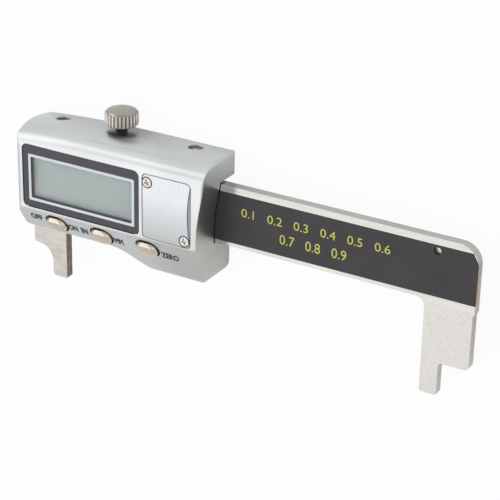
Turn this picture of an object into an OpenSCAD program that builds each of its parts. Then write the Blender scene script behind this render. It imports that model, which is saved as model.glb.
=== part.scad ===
// Digital chain wear gauge: a head with a moving probe slides on a beam with a fixed probe.
// The gauge lies on the back of its head, with the display up and the beam along X.

/* [Beam] */
// Height of the beam between its two edges
beam_w = 16; // [12:0.5:22]
// Thickness of the beam and of both probes
beam_t = 2.5; // [2:0.1:3.5]
// Length of the beam to the left of the moving probe's inner face
beam_tail = 8; // [7:0.5:12]
// Radius of the beam's outer top corner
beam_corner_r = 5; // [1:0.1:6]
// Height of the inlaid scale board
board_h = 13.2; // [9:0.1:15]
// Thickness of the inlaid scale board
board_t = 1.3; // [0.8:0.1:1.6]
// Thickness of the printed label film
label_t = 0.2; // [0.1:0.05:0.3]
// Diameter of the small hole through the beam near its end
beam_hole_d = 2; // [1:0.1:3]

/* [Probes] */
// Gap between the inner faces of the two probes
probe_gap = 102.4; // [80:0.1:140]
// Width of the fixed probe's wide part, up to the beam's end
fixed_wide_w = 12.8; // [9:0.1:18]
// Width of the fixed probe's tip
fixed_tip_w = 4.6; // [3:0.1:5]
// Drop of the fixed probe's tip below the beam
fixed_tip_drop = 24.9; // [18:0.1:32]
// Drop of the fixed probe's wide part below the beam
fixed_wide_drop = 16.1; // [10:0.1:17]
// Width of the moving probe's tip
moving_tip_w = 4.4; // [3:0.1:5]
// Width of the moving probe's wide part
moving_wide_w = 10.2; // [8:0.1:14]
// Drop of the moving probe's wide part below the head
moving_wide_drop = 7.85; // [5:0.05:12]
// Drop of the moving probe's tip below its wide part
moving_tip_drop = 8.45; // [5:0.05:12]
// Radius of the curve between the moving probe's wide part and its tip
moving_curve_r = 4.5; // [1:0.1:5]

/* [Head] */
// Height of the beam's back above the surface that the head lies on
skirt_h = 5; // [4.5:0.1:8]
// Depth of the head in front of the beam
head_front = 9; // [8.5:0.1:12]
// Height of the head above the beam's top edge
top_flange = 7.3; // [6.2:0.05:9]
// Length of the head to the left of the moving probe's inner face
head_left = 9.2; // [9:0.05:14]
// Height of the rail, the part of the moving probe's plate that lies in the head
rail_h = 4.05; // [4:0.05:6]
// Step of the lower edge, lower at the right
bottom_step = 5.1; // [1:0.1:8]
// Step of the right side, narrower below
side_step = 1.8; // [0.5:0.1:2.5]
// Fall of the top towards its left end
top_fall = 1.35; // [0.2:0.05:1.6]
// Fall of the top's crown towards the back
crown_fall = 0.9; // [0:0.1:1.6]
// Height of the rounding between the top and the front
top_front_h = 5; // [2:0.1:5.5]
// Depth of the rounding between the top and the front
top_front_depth = 8.5; // [3:0.1:10]
// Lean of the chin, the slanted face with the buttons
chin_angle = 28; // [15:1:32]
// Height of the chin at the left
chin_h = 6.3; // [6.2:0.1:9]
// Thickness of the cast walls
wall = 1.4; // [1.2:0.1:1.8]

/* [Display] */
// Width of the display bezel
bezel_w = 35.2; // [28:0.1:44]
// Height of the display bezel
bezel_h = 17.15; // [14:0.05:21]
// Width of the bezel's rim beside the window
bezel_rim_x = 1.55; // [1:0.05:3]
// Width of the bezel's rim above the window
bezel_rim_top = 2.6; // [1:0.05:3]
// Width of the bezel's rim below the window
bezel_rim_low = 1.75; // [1:0.05:3]
// Depth of the window below the head's face
window_sink = 0.5; // [0.2:0.1:0.7]

/* [Battery] */
// Width of the battery cover
cover_w = 14; // [13.6:0.1:18]
// Height of the battery cover
cover_h = 17.2; // [16.4:0.1:21]
// Thickness of the battery cover
cover_t = 1.05; // [0.8:0.05:1.3]
// Diameter of the button cell
cell_d = 11.6; // [9:0.1:11.6]
// Thickness of the button cell
cell_t = 5.4; // [3:0.1:5.4]

/* [Controls] */
// Width of a button
button_w = 6.5; // [5:0.1:7]
// Height of a button along the chin
button_h = 5.2; // [4:0.1:5.2]
// Distance from one button to the next
button_pitch = 13.75; // [12:0.05:16]
// Travel of a button
button_travel = 0.4; // [0.2:0.05:0.5]
// Diameter of the lock screw's knob
knob_d = 8.6; // [6:0.1:12]
// Height of the lock screw's knob below its dome
knob_h = 3.55; // [2:0.05:6]
// Distance of the knob from the head's top
knob_gap = 1.3; // [1:0.1:5]
// Diameter of the lock screw's and the set screws' threads
thread_d = 2.9; // [2:0.1:3]
// Distance between the two set screws
set_pitch = 39.5; // [30:0.5:44]

/* [Clearances] */
// Running clearance between the beam and what guides it
run_gap = 0.05; // [0.03:0.01:0.1]
// Clearance round a part that sits in a recess
seat_gap = 0.1; // [0.05:0.01:0.15]
// Clearance between the beam's face and the head
face_gap = 0.3; // [0.2:0.05:0.5]
// Clearance round a button in its opening
button_gap = 0.25; // [0.1:0.05:0.4]

/* [Hidden] */
$fn = 48;

// Levels through the thickness, from the resting plane up to the face
beam_z0 = skirt_h;
beam_z1 = beam_z0 + beam_t;
face_z = beam_z1 + head_front;
slot_z = beam_z1 + face_gap;
main_board_t = 1;
main_board_z0 = slot_z + seat_gap;
main_board_z1 = main_board_z0 + main_board_t;

// Levels across the beam, measured from its centreline
beam_y = beam_w / 2;
slot_y = beam_y + 0.38;
board_low = 0.38;
skirt_r = 0.8;
top_y = beam_y + top_flange;
bezel_drop = 5.05;
bezel_y1 = top_y - bezel_drop;
bezel_y0 = bezel_y1 - bezel_h;
chin_y = bezel_y0 - 0.4;
bottom_y = min(chin_y - chin_h, -(beam_y + run_gap + rail_h + seat_gap + wall));
low_y = bottom_y - bottom_step;
bay_y0 = bottom_y + wall;
bay_y1 = bezel_y1 - 0.75;

// Places along the beam, measured from the moving probe's inner face
bezel_x0 = 2.45 - head_left;
bezel_x1 = bezel_x0 + bezel_w;
cover_x0 = bezel_x1 + 0.95;
cover_x1 = cover_x0 + cover_w;
low_right = cover_x1 + 1.6;
head_right = low_right + side_step;
head_mid = (head_right - head_left) / 2;
step_x = head_mid - 0.8;
bay_x0 = 2.2 - head_left;
bay_x1 = low_right - 1.25;

// Display stack
bezel_r = 1.5;
bezel_t = 0.9;
bezel_sink = 0.3;
bezel_seat_z = face_z - bezel_sink - bezel_t;
ledge = 1;
bay_z1 = bezel_seat_z - ledge;
view_rim = 0.95;
window_t = 0.9;
window_z1 = face_z - window_sink;
panel_t = 1.8;
panel_z1 = bay_z1 - seat_gap;
panel_z0 = panel_z1 - panel_t;
display_y = (bezel_y0 + bezel_y1) / 2;
display_x = (bezel_x0 + bezel_x1) / 2;
window_x0 = bezel_x0 + bezel_rim_x;
window_x1 = bezel_x1 - bezel_rim_x;
window_y0 = bezel_y0 + bezel_rim_low;
window_y1 = bezel_y1 - bezel_rim_top;
panel_w = bezel_w - 3.3;
panel_h = bezel_h - 3.4;
connector_w = 1.5;

// Battery stack
cover_y1 = bezel_y1 - 0.05;
cover_y0 = cover_y1 - cover_h;
cover_r = 1.2;
cover_seat_z = face_z - cover_t - 0.05;
cell_x = (cover_x0 + cover_x1) / 2;
cell_y = (cover_y0 + cover_y1) / 2;
cell_z1 = cover_seat_z - 0.05;
cell_z0 = cell_z1 - cell_t;
cell_bore_d = cell_d + 0.6;
contact_t = 0.25;
contact_w = 2.6;
cover_screws = [[cover_x0 + 1.45, cover_y1 - 2.2], [cover_x1 - 1.8, cover_y0 + 1.75]];
small_head_d = 2.5;
small_head_h = 0.7;
small_thread_d = 1.4;
small_screw_l = 3.2;

// Buttons on the chin
first_button_x = 11.6 - head_left;
button_x = [for (i = [0:2]) first_button_x + i * button_pitch];
button_y = chin_y - 3.35;
button_z = chin_face(button_y);
button_rise = 0.75;
tab_t = 0.8;
tab_side = 0.8;
tab_h = 4;
dome_d = 3;
pad_t = 0.8;
pad_z1 = main_board_z1 + pad_t;
pad_y1 = chin_y + 1.8;
pad_side = 1;
bay_side = 1.2;
pad_bay_x0 = button_x[0] - button_w / 2 - bay_side;
pad_bay_x1 = button_x[2] + button_w / 2 + bay_side;

// Screws of the back plate
plate_t = 1.2;
plate_z1 = beam_z0 - seat_gap;
plate_z0 = plate_z1 - plate_t;
plate_x0 = 4.6;
plate_x1 = bay_x1 - 0.4;
plate_thread_d = 1.9;
plate_head_d = 3.6;
ear_r = 2.3;
gib_t = 1.2;
gib_x0 = head_mid - 0.55 - set_pitch / 2 - 2.6;
gib_x1 = gib_x0 + set_pitch + 5.2;
gib_y1 = beam_y + run_gap + gib_t;
gib_pocket_y = gib_y1 + 0.2;
ear_y = max(gib_pocket_y, bay_y1) + 0.15 + plate_thread_d / 2;
rail_screw_y = -(beam_y + run_gap + rail_h / 2);
boss_x = (button_x[0] + button_x[1]) / 2;
boss_r = 2.2;
plate_screws = [
    [boss_x, ear_y], [boss_x + 18.25, ear_y],
    [boss_x, rail_screw_y], [max(plate_x1 - 6, pad_bay_x1 + plate_thread_d / 2 + 0.1), rail_screw_y]
];
screw_above_seat = 4.4;

// Screws in the top
screw_z = beam_z0 + 0.35;
set_x = [gib_x0 + 2.6, gib_x1 - 2.6];
lock_x = head_mid - 2.5;
set_screw_l = 3.4;
mouth_d = 3.9;
lock_tip_y = gib_y1 + run_gap;
knob_y = top_y + knob_gap;
dome_h = 0.7;
knurls = 26;
knurl_w = 0.78;

// Stop screw at the beam's hidden end
stop_x = 2.7 - beam_tail;
stop_head_d = 3.4;
stop_head_h = 1;
board_x0 = 5 - beam_tail;

// Beam's end, and the small hole near it
beam_end = probe_gap + fixed_wide_w;
beam_hole = [beam_end - 10.4, board_h / 2 - board_low - 1.6];

// Middle of the gauge's outline, which is the origin
mid_x = (beam_end - moving_wide_w) / 2;
mid_y = (knob_y + knob_h + dome_h - beam_y - fixed_tip_drop) / 2;

// Points of an arc that rounds the corner b between a and c with radius r
function unit(v) = v / norm(v);
function rounded_corner(a, b, c, r, n) =
    r == 0 ? [b] :
    let (
        u = unit(a - b), v = unit(c - b), half = acos(u * v) / 2,
        m = b + unit(u + v) * r / sin(half),
        p = b + u * r / tan(half) - m, q = b + v * r / tan(half) - m,
        start = atan2(p[1], p[0]), end = atan2(q[1], q[0]),
        sweep = (end - start + 540) % 360 - 180
    )
    [for (i = [0:n]) m + r * [cos(start + sweep * i / n), sin(start + sweep * i / n)]];

// Outline from corners [x, y, radius]
function xy(p) = [p[0], p[1]];
function rounded(corners, n = 8) =
    let (count = len(corners))
    [for (i = [0:count - 1]) each rounded_corner(
        xy(corners[(i + count - 1) % count]), xy(corners[i]), xy(corners[(i + 1) % count]),
        corners[i][2], n)];

// Smooth step from 0 to 1 that starts and ends level
function blend(t) = (1 - cos(180 * t)) / 2;

// Height of the chin's outer face at a place across the beam
function chin_face(y) = face_z - (chin_y - y) * tan(chin_angle);
// Height of the chin's inner face
function chin_inside(y) = chin_face(y) - wall / cos(chin_angle);

module placed() {
    translate([-mid_x, -mid_y, 0]) children();
}

// Extrudes a profile, drawn as [y, z], along X
module along_x(x0, x1) {
    translate([x0, 0, 0]) rotate([90, 0, 90]) linear_extrude(x1 - x0) children();
}

module block(x0, x1, y0, y1, z0, z1) {
    translate([x0, y0, z0]) cube([x1 - x0, y1 - y0, z1 - z0]);
}

// Cylinder along Z between two levels
module post(p, z0, z1, d) {
    translate([p[0], p[1], z0]) cylinder(d = d, h = z1 - z0);
}

// Cylinder along Y between two places
module cross_post(x, z, y0, y1, d) {
    translate([x, y0, z]) rotate([-90, 0, 0]) cylinder(d = d, h = y1 - y0);
}

module round_rect(x0, x1, y0, y1, r) {
    translate([x0 + r, y0]) square([x1 - x0 - 2 * r, y1 - y0]);
    translate([x0, y0 + r]) square([x1 - x0, y1 - y0 - 2 * r]);
    for (x = [x0 + r, x1 - r], y = [y0 + r, y1 - r])
        translate([x, y]) circle(r);
}

module plate(x0, x1, y0, y1, r, z0, z1) {
    translate([0, 0, z0]) linear_extrude(z1 - z0) round_rect(x0, x1, y0, y1, r);
}

// Puts a shape on the chin at a button's place, with Z along the chin's normal
module on_chin(x) {
    translate([x, button_y, button_z]) rotate([chin_angle, 0, 0]) children();
}

module oval(w, h) {
    offset_x = (w - h) / 2;
    square([w - h, h], center = true);
    for (side = [-1, 1])
        translate([side * offset_x, 0]) circle(d = h);
}

// Countersunk screw with a flat head at z0, its thread towards +Z
module flat_screw(p, z0, length, head_d, shank_d) {
    cone_h = (head_d - shank_d) / 2;
    difference() {
        union() {
            translate([p[0], p[1], z0]) cylinder(d1 = head_d, d2 = shank_d, h = cone_h);
            post(p, z0, z0 + length, shank_d);
        }
        cross_slots(p, z0 - 0.1, z0 + cone_h * 0.6, head_d * 0.62);
    }
}

// Cross recess of a screw, cut between two levels
module cross_slots(p, z0, z1, size) {
    for (turn = [0, 90])
        translate([p[0], p[1], (z0 + z1) / 2]) rotate([0, 0, turn + 20])
            cube([size, size * 0.26, z1 - z0], center = true);
}

// Outline of the board in the beam's face, inset by a gap
module board_outline(gap) {
    top = board_h / 2 - board_low - gap;
    low = -board_h / 2 - board_low + gap;
    right = beam_end;
    polygon([
        [board_x0 + gap, low], [right, low],
        [right, top - 2.6], [right - 1.4, top], [board_x0 + gap, top]
    ]);
}

module beam() {
    relief = 0.4;
    wide_x = beam_end - relief;
    tip_x = probe_gap + fixed_tip_w;
    outline = rounded([
        [-beam_tail, -beam_y, 0], [-beam_tail, beam_y, 0],
        [beam_end, beam_y, beam_corner_r],
        [beam_end, -beam_y - 0.9, 0], [wide_x, -beam_y - 1.9, 0],
        [wide_x, -beam_y - fixed_wide_drop, 1.3],
        [tip_x, -beam_y - fixed_wide_drop, 1],
        [tip_x, -beam_y - fixed_tip_drop, 0.5],
        [probe_gap, -beam_y - fixed_tip_drop, 0.9],
        [probe_gap, -beam_y, 2.4]
    ]);
    color("gainsboro") placed() difference() {
        translate([0, 0, beam_z0]) linear_extrude(beam_t) polygon(outline);
        translate([0, 0, beam_z1 - board_t - label_t]) linear_extrude(board_t + 1) board_outline(0);
        block(beam_end - 0.01, beam_end + 1, -board_h / 2 - board_low, board_h / 2 - board_low - 2.6,
              beam_z1 - board_t - label_t, beam_z1 + 1);
        post(beam_hole, beam_z0 - 1, beam_z1 + 1, beam_hole_d);
        post([stop_x, 0], beam_z0 - 1, beam_z1 + 1, plate_thread_d + 0.1);
    }
}

module scale_board() {
    color("wheat") placed() difference() {
        translate([0, 0, beam_z1 - board_t - label_t]) linear_extrude(board_t) board_outline(0.03);
        post(beam_hole, beam_z0, beam_z1 + 1, beam_hole_d);
    }
}

module scale_label() {
    color("dimgray") placed() difference() {
        translate([0, 0, beam_z1 - label_t]) linear_extrude(label_t) board_outline(0.05);
        post(beam_hole, beam_z0, beam_z1 + 1, beam_hole_d);
    }
}

module stop_screw() {
    color("silver") placed() difference() {
        union() {
            post([stop_x, 0], beam_z0 - stop_head_h, beam_z0, stop_head_d);
            post([stop_x, 0], beam_z0 - 0.2, beam_z1 - 0.2, plate_thread_d);
        }
        cross_slots([stop_x, 0], beam_z0 - stop_head_h - 1, beam_z0 - stop_head_h + 0.5, 2);
    }
}

// Front view of the head, whose right side and lower edge each step along a smooth curve
function head_outline() =
    let (side_start = top_y - 19.3, side_run = 16, step_run = 12.5, n = 12)
    concat(
        rounded_corner([bezel_x1, low_y], [low_right, low_y], [low_right, top_y], 2.4, 8),
        [for (i = [0:n]) [low_right + side_step * blend(i / n), side_start + side_run * i / n]],
        rounded_corner([head_right, low_y], [head_right, top_y], [0, top_y], 1.6, 6),
        [[-head_left, top_y]],
        rounded_corner([-head_left, top_y], [-head_left, bottom_y], [0, bottom_y], 2.2, 6),
        [for (i = [0:n]) [step_x + step_run * i / n, bottom_y - bottom_step * blend(i / n)]]
    );

// Side view of the head without its top, as [y, z]
function head_profile() = concat(
    rounded_corner([low_y, face_z], [low_y, 0], [top_y, 0], 2.8, 12),
    [[top_y + 1, 0], [top_y + 1, face_z]],
    rounded_corner([top_y, face_z], [chin_y, face_z], [low_y, chin_face(low_y)], 3, 8),
    rounded_corner([chin_y, face_z], [low_y, chin_face(low_y)], [low_y, 0], 1.5, 12)
);

// Crowned top in the side view, as [y - top_y, z]: it rises from the back, then rounds into the front
function top_profile() =
    let (crown_z = face_z - top_front_depth, back_r = 0.8, n = 8, round_n = 20)
    concat(
        [[low_y - top_y - 1, face_z], [low_y - top_y - 1, 0]],
        rounded_corner([low_y - top_y, 0], [-crown_fall, 0], [-crown_fall, face_z], back_r, 6),
        [for (i = [1:n])
            let (z = back_r + (crown_z - back_r) * i / n)
            [-crown_fall * pow(1 - (z - back_r) / (crown_z - back_r), 1.5), z]],
        [for (i = [1:round_n])
            let (turn = 90 * i / round_n)
            [-top_front_h * (1 - cos(turn)), crown_z + top_front_depth * sin(turn)]]
    );

// The top runs straight to the head's middle, then falls along a large arc to the left end
module top_sweep() {
    run = head_mid + head_left;
    arc_r = (run * run + top_fall * top_fall) / (2 * top_fall);
    along_x(head_mid, head_right + 1) translate([top_y, 0]) polygon(top_profile());
    translate([head_mid, top_y - arc_r, 0]) rotate([0, 0, 90])
        rotate_extrude(angle = asin((run + 2) / arc_r), $fn = 1440)
            translate([arc_r, 0]) polygon(top_profile());
}

// Plan view of the head, as [x, z], which rounds its upright edges
module head_plan() {
    front_left_r = 2.2;
    front_right_r = 0.7;
    back_left_r = 0.4;
    back_right_r = 1.8;
    polygon(rounded([
        [-head_left, 0, back_left_r], [head_right, 0, back_right_r],
        [head_right, face_z, front_right_r], [-head_left, face_z, front_left_r]
    ]));
}

module head_shell() {
    intersection() {
        linear_extrude(face_z) polygon(head_outline());
        along_x(-head_left - 1, head_right + 1) polygon(head_profile());
        top_sweep();
        translate([0, low_y - 1, 0]) rotate([90, 0, 0]) mirror([0, 0, 1])
            linear_extrude(top_y - low_y + 2) head_plan();
    }
}

// Space for the beam, the gib strip and the back plate
module beam_channel() {
    block(-head_left - 1, head_right + 1, -beam_y - 0.3, slot_y, -1, slot_z);
    block(bay_x0, bay_x1, bay_y0, slot_y, -1, slot_z);
    along_x(-head_left - 1, head_right + 1) polygon(concat(
        [[slot_y - 1, skirt_r], [slot_y - 1, -1], [slot_y + skirt_r, -1]],
        [for (i = [6:-1:0])
            [slot_y + skirt_r * (1 - cos(15 * i)), skirt_r * (1 - sin(15 * i))]]
    ));
    block(gib_x0 - 0.5, gib_x1 + 0.5, beam_y, gib_pocket_y, beam_z0 - 0.02, slot_z);
    for (p = [plate_screws[0], plate_screws[1]]) {
        post(p, -1, beam_z0 - 0.05, 2 * ear_r + 0.4);
        block(p[0] - ear_r - 0.2, p[0] + ear_r + 0.2, beam_y, p[1], -1, beam_z0 - 0.05);
    }
}

// Space behind the display and the chin
module electronics_bay() {
    block(bay_x0, bay_x1, bay_y0, bay_y1, slot_z - 0.5, main_board_z1 + 0.2);
    block(bay_x0, bezel_x1 + 0.4, chin_y + 0.4, bay_y1, slot_z, bay_z1);
    along_x(pad_bay_x0, pad_bay_x1) polygon([
        [pad_y1 + 0.1, slot_z], [pad_y1 + 0.1, bay_z1], [chin_y, bay_z1],
        [chin_y - 0.1, chin_inside(chin_y - 0.1)],
        [bay_y0, chin_inside(bay_y0)], [bay_y0, slot_z]
    ]);
}

module display_opening() {
    plate(bezel_x0, bezel_x1, bezel_y0, bezel_y1, bezel_r, bezel_seat_z, face_z + 1);
    plate(bezel_x0 + ledge, bezel_x1 - ledge, bezel_y0 + ledge, bezel_y1 - ledge, bezel_r,
          bay_z1 - 0.1, face_z);
}

module battery_opening() {
    plate(cover_x0, cover_x1, cover_y0, cover_y1, cover_r, cover_seat_z, face_z + 1);
    post([cell_x, cell_y], main_board_z1, face_z, cell_bore_d);
    block(cell_x - cell_bore_d / 2 - 0.5, cell_x, cell_y - contact_w / 2 - 0.3,
          cell_y + contact_w / 2 + 0.3, main_board_z1, cell_z1 - 0.6);
    for (p = cover_screws) post(p, main_board_z1, face_z, small_thread_d + 0.1);
}

module button_openings() {
    for (x = button_x)
        on_chin(x) translate([0, 0, -wall - button_travel - 0.3]) linear_extrude(wall + 3)
            oval(button_w + 2 * button_gap, button_h + 2 * button_gap);
}

module top_holes() {
    for (x = set_x) {
        cross_post(x, screw_z, gib_y1, top_y + 1, thread_d + 0.1);
        cross_post(x, screw_z, gib_y1 + set_screw_l + 0.3, top_y + 1, mouth_d);
    }
    cross_post(lock_x, screw_z, gib_y1, top_y + 1, thread_d + 0.1);
}

// Hollow of the deeper lower right corner
module lower_hollow() {
    x0 = step_x + 15.3;
    plate(x0, low_right - 2, low_y + 1.6, bay_y0 - 0.8, 1, -1, slot_z + 2.5);
}

// Bosses that the moving probe's rail and the back plate are screwed to, one behind the chin
module bosses() {
    intersection() {
        post(plate_screws[2], beam_z1, face_z, 2 * boss_r);
        head_shell();
    }
    post(plate_screws[3], beam_z1, main_board_z1 + wall, 2 * boss_r);
}

module housing() {
    color("silver") placed() difference() {
        union() {
            difference() {
                head_shell();
                beam_channel();
                electronics_bay();
                lower_hollow();
            }
            bosses();
        }
        display_opening();
        battery_opening();
        button_openings();
        top_holes();
        probe_exit();
        for (p = plate_screws) post(p, plate_z0, plate_z1 + screw_above_seat + 0.3, plate_thread_d + 0.1);
    }
}

// Slot in the head's lower wall for the moving probe's neck
module probe_exit() {
    block(bay_x0, seat_gap, bottom_y - 1, bay_y0 + 1, -1, beam_z1 + seat_gap);
}

module moving_probe() {
    rail_y0 = bay_y0 + seat_gap;
    wide_y1 = bottom_y - seat_gap;
    wide_y0 = bottom_y - moving_wide_drop;
    neck_x = bay_x0 + seat_gap;
    outline = rounded([
        [0, wide_y0 - moving_tip_drop, 0.4], [0, rail_y0, 0],
        [plate_x1, rail_y0, 0], [plate_x1, -beam_y - run_gap, 0],
        [neck_x, -beam_y - run_gap, 0], [neck_x, wide_y1, 0],
        [-moving_wide_w, wide_y1, 0], [-moving_wide_w, wide_y0, 0.7],
        [-moving_tip_w, wide_y0, moving_curve_r],
        [-moving_tip_w, wide_y0 - moving_tip_drop, 0.9]
    ]);
    color("gainsboro") placed() difference() {
        translate([0, 0, beam_z0]) linear_extrude(beam_t) polygon(outline);
        for (i = [2, 3]) post(plate_screws[i], beam_z0 - 1, beam_z1 + 1, plate_thread_d + 0.1);
    }
}

module back_plate() {
    color("lightgray") placed() difference() {
        union() {
            block(plate_x0, plate_x1, bay_y0 + seat_gap, beam_y - seat_gap, plate_z0, plate_z1);
            for (p = [plate_screws[0], plate_screws[1]]) {
                post(p, plate_z0, plate_z1, 2 * ear_r);
                block(p[0] - ear_r, p[0] + ear_r, 0, p[1], plate_z0, plate_z1);
            }
        }
        for (p = plate_screws) {
            post(p, plate_z0 - 1, plate_z1 + 1, plate_thread_d + 0.1);
            translate([p[0], p[1], plate_z0 - 0.01])
                cylinder(d1 = plate_head_d + 0.12, d2 = plate_thread_d + 0.1, h = 0.87);
        }
    }
}

module back_plate_screws() {
    color("silver") placed()
        for (p = plate_screws)
            flat_screw(p, plate_z0, plate_t + screw_above_seat, plate_head_d, plate_thread_d);
}

module gib_strip() {
    color("goldenrod") placed()
        block(gib_x0, gib_x1, beam_y + run_gap, gib_y1, beam_z0 + 0.05, beam_z1 - 0.05);
}

module gib_set_screws() {
    color("dimgray") placed()
        for (x = set_x)
            difference() {
                cross_post(x, screw_z, gib_y1, gib_y1 + set_screw_l, thread_d);
                translate([x, gib_y1 + set_screw_l - 1.5, screw_z]) rotate([-90, 0, 0])
                    cylinder(d = 1.7, h = 2, $fn = 6);
            }
}

module display_bezel() {
    gap = seat_gap / 2;
    color("dimgray") placed() difference() {
        union() {
            plate(bezel_x0 + gap, bezel_x1 - gap, bezel_y0 + gap, bezel_y1 - gap, bezel_r,
                  bezel_seat_z, bezel_seat_z + bezel_t);
            plate(bezel_x0 + ledge + gap, bezel_x1 - ledge - gap,
                  bezel_y0 + ledge + gap, bezel_y1 - ledge - gap, bezel_r, bay_z1, bezel_seat_z + 0.1);
        }
        plate(window_x0, window_x1, window_y0, window_y1, 0.4, window_z1 - window_t, face_z);
        plate(window_x0 + view_rim, window_x1 - view_rim, window_y0 + view_rim, window_y1 - view_rim,
              0.3, 0, face_z);
    }
}

module display_window() {
    gap = seat_gap / 2;
    color("white", 0.4) placed()
        plate(window_x0 + gap, window_x1 - gap, window_y0 + gap, window_y1 - gap, 0.35,
              window_z1 - window_t, window_z1);
}

module display_panel() {
    color("darkseagreen") placed()
        block(display_x - panel_w / 2, display_x + panel_w / 2,
              display_y - panel_h / 2, display_y + panel_h / 2, panel_z0, panel_z1);
}

module panel_connectors() {
    color("pink") placed()
        for (side = [-1, 1])
            translate([display_x, display_y + side * (panel_h - connector_w) / 2,
                       (main_board_z1 + panel_z0) / 2])
                cube([panel_w - 3, connector_w, panel_z0 - main_board_z1], center = true);
}

module main_board() {
    color("darkgreen") placed() difference() {
        block(bay_x0 + seat_gap, bay_x1 - seat_gap, bay_y0 + seat_gap, bay_y1 - seat_gap,
              main_board_z0, main_board_z1);
        for (i = [2, 3]) post(plate_screws[i], 0, face_z, 2 * boss_r + 0.4);
        for (p = cover_screws) {
            post(p, 0, face_z, small_thread_d + 0.1);
            translate([p[0], p[1], main_board_z0 - 0.01])
                cylinder(d1 = small_head_d + 0.12, d2 = small_thread_d + 0.1, h = 0.57);
        }
    }
}

module main_board_screws() {
    color("silver") placed()
        for (p = cover_screws)
            flat_screw(p, main_board_z0, main_board_t + 2.2, small_head_d, small_thread_d);
}

module controller_chip() {
    drop_r = 7.4;
    drop_h = 1.2;
    drop_x = display_x - 4;
    color("black") placed() difference() {
        translate([drop_x, display_y, main_board_z1 + drop_h - drop_r]) sphere(r = drop_r);
        block(drop_x - drop_r, drop_x + drop_r, display_y - drop_r, display_y + drop_r,
              main_board_z1 - 2 * drop_r, main_board_z1);
    }
}

module button_pad() {
    x0 = button_x[0] - button_w / 2 - pad_side;
    x1 = button_x[2] + button_w / 2 + pad_side;
    top = -wall - 0.02 - tab_t - button_travel - 0.05;
    color("darkgray") placed() difference() {
        union() {
            block(x0, x1, bay_y0 + 0.3, chin_y + 0.2, main_board_z1, pad_z1);
            intersection() {
                block(x0, x1, bay_y0 + 0.3, pad_y1, main_board_z1, bay_z1);
                for (x = button_x) on_chin(x) translate([0, 0, top - 8]) cylinder(d = dome_d, h = 8);
            }
        }
        for (i = [2, 3]) post(plate_screws[i], 0, face_z, 2 * boss_r + 0.4);
    }
}

module battery() {
    color("silver") placed() union() {
        post([cell_x, cell_y], cell_z0 + 0.5, cell_z1, cell_d);
        post([cell_x, cell_y], cell_z0, cell_z0 + 0.6, cell_d - 2.2);
    }
}

module battery_spring() {
    reach = 6;
    color("goldenrod") placed()
        translate([cell_x - reach / 2, cell_y + contact_w / 2, 0]) rotate([90, 0, 0])
            linear_extrude(contact_w) polygon([
                [0, main_board_z1], [reach, main_board_z1], [reach, main_board_z1 + contact_t],
                [contact_t, main_board_z1 + contact_t], [reach * 0.6, cell_z0 - 0.02],
                [reach * 0.6 - 0.6, cell_z0 - 0.02], [0, main_board_z1 + contact_t * 1.6]
            ]);
}

module battery_side_contact() {
    x0 = cell_x - cell_bore_d / 2 - 0.4;
    color("goldenrod") placed()
        block(x0, x0 + contact_t, cell_y - contact_w / 2, cell_y + contact_w / 2,
              main_board_z1, cell_z1 - 0.8);
}

module battery_cover() {
    thumb_r = 36;
    thumb_w = 0.9;
    color("silver") placed() difference() {
        plate(cover_x0 + seat_gap, cover_x1 - seat_gap, cover_y0 + seat_gap, cover_y1 - seat_gap,
              cover_r, cover_seat_z, cover_seat_z + cover_t);
        post([cover_x1 - seat_gap - thumb_w + thumb_r, cell_y], cover_seat_z + cover_t - 0.3, face_z,
             2 * thumb_r);
        for (p = cover_screws) {
            post(p, 0, face_z, small_thread_d + 0.1);
            post(p, cover_seat_z + 0.35, face_z, small_head_d + 0.5);
        }
    }
}

module battery_cover_screws() {
    seat = cover_seat_z + 0.35;
    color("gainsboro") placed()
        for (p = cover_screws)
            difference() {
                union() {
                    post(p, seat, seat + small_head_h, small_head_d);
                    post(p, seat + 0.1 - small_screw_l, seat + 0.1, small_thread_d);
                }
                cross_slots(p, seat + 0.15, seat + 2, small_head_d * 0.64);
            }
}

module lock_screw() {
    r = knob_d / 2;
    dome_n = 8;
    crown = r - 0.45;
    profile = concat(
        [[0, lock_tip_y - knob_y], [thread_d / 2 - 0.3, lock_tip_y - knob_y],
         [thread_d / 2, lock_tip_y - knob_y + 0.3], [thread_d / 2, 0], [r - 0.4, 0], [r, 0.4],
         [r, knob_h - 0.4]],
        [for (i = [0:dome_n]) [crown * cos(90 * i / dome_n), knob_h + dome_h * sin(90 * i / dome_n)]]
    );
    color("silver") placed() translate([lock_x, knob_y, screw_z]) rotate([-90, 0, 0]) difference() {
        rotate_extrude($fn = 96) polygon(profile);
        for (i = [0:knurls - 1])
            rotate([0, 0, i * 360 / knurls]) translate([r + 0.04, 0, -0.1])
                cylinder(d = knurl_w, h = knob_h, $fn = 16);
    }
}

module button(x) {
    crown_r = 13;
    color("tan") placed() on_chin(x) {
        intersection() {
            translate([0, 0, -wall - 0.1]) linear_extrude(wall + 2) oval(button_w, button_h);
            translate([0, 0, button_rise - crown_r]) sphere(r = crown_r, $fn = 96);
        }
        translate([0, 0, -wall - 0.02 - tab_t / 2])
            cube([button_w + 2 * tab_side, tab_h, tab_t], center = true);
    }
}

module power_button() {
    button(button_x[0]);
}

module unit_button() {
    button(button_x[1]);
}

module zero_button() {
    button(button_x[2]);
}

beam();
scale_board();
scale_label();
stop_screw();
housing();
moving_probe();
back_plate();
back_plate_screws();
gib_strip();
gib_set_screws();
display_bezel();
display_window();
display_panel();
panel_connectors();
main_board();
main_board_screws();
controller_chip();
button_pad();
battery();
battery_spring();
battery_side_contact();
battery_cover();
battery_cover_screws();
lock_screw();
power_button();
unit_button();
zero_button();
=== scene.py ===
import math

import bmesh
import bpy
from mathutils import Matrix, Vector


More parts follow.
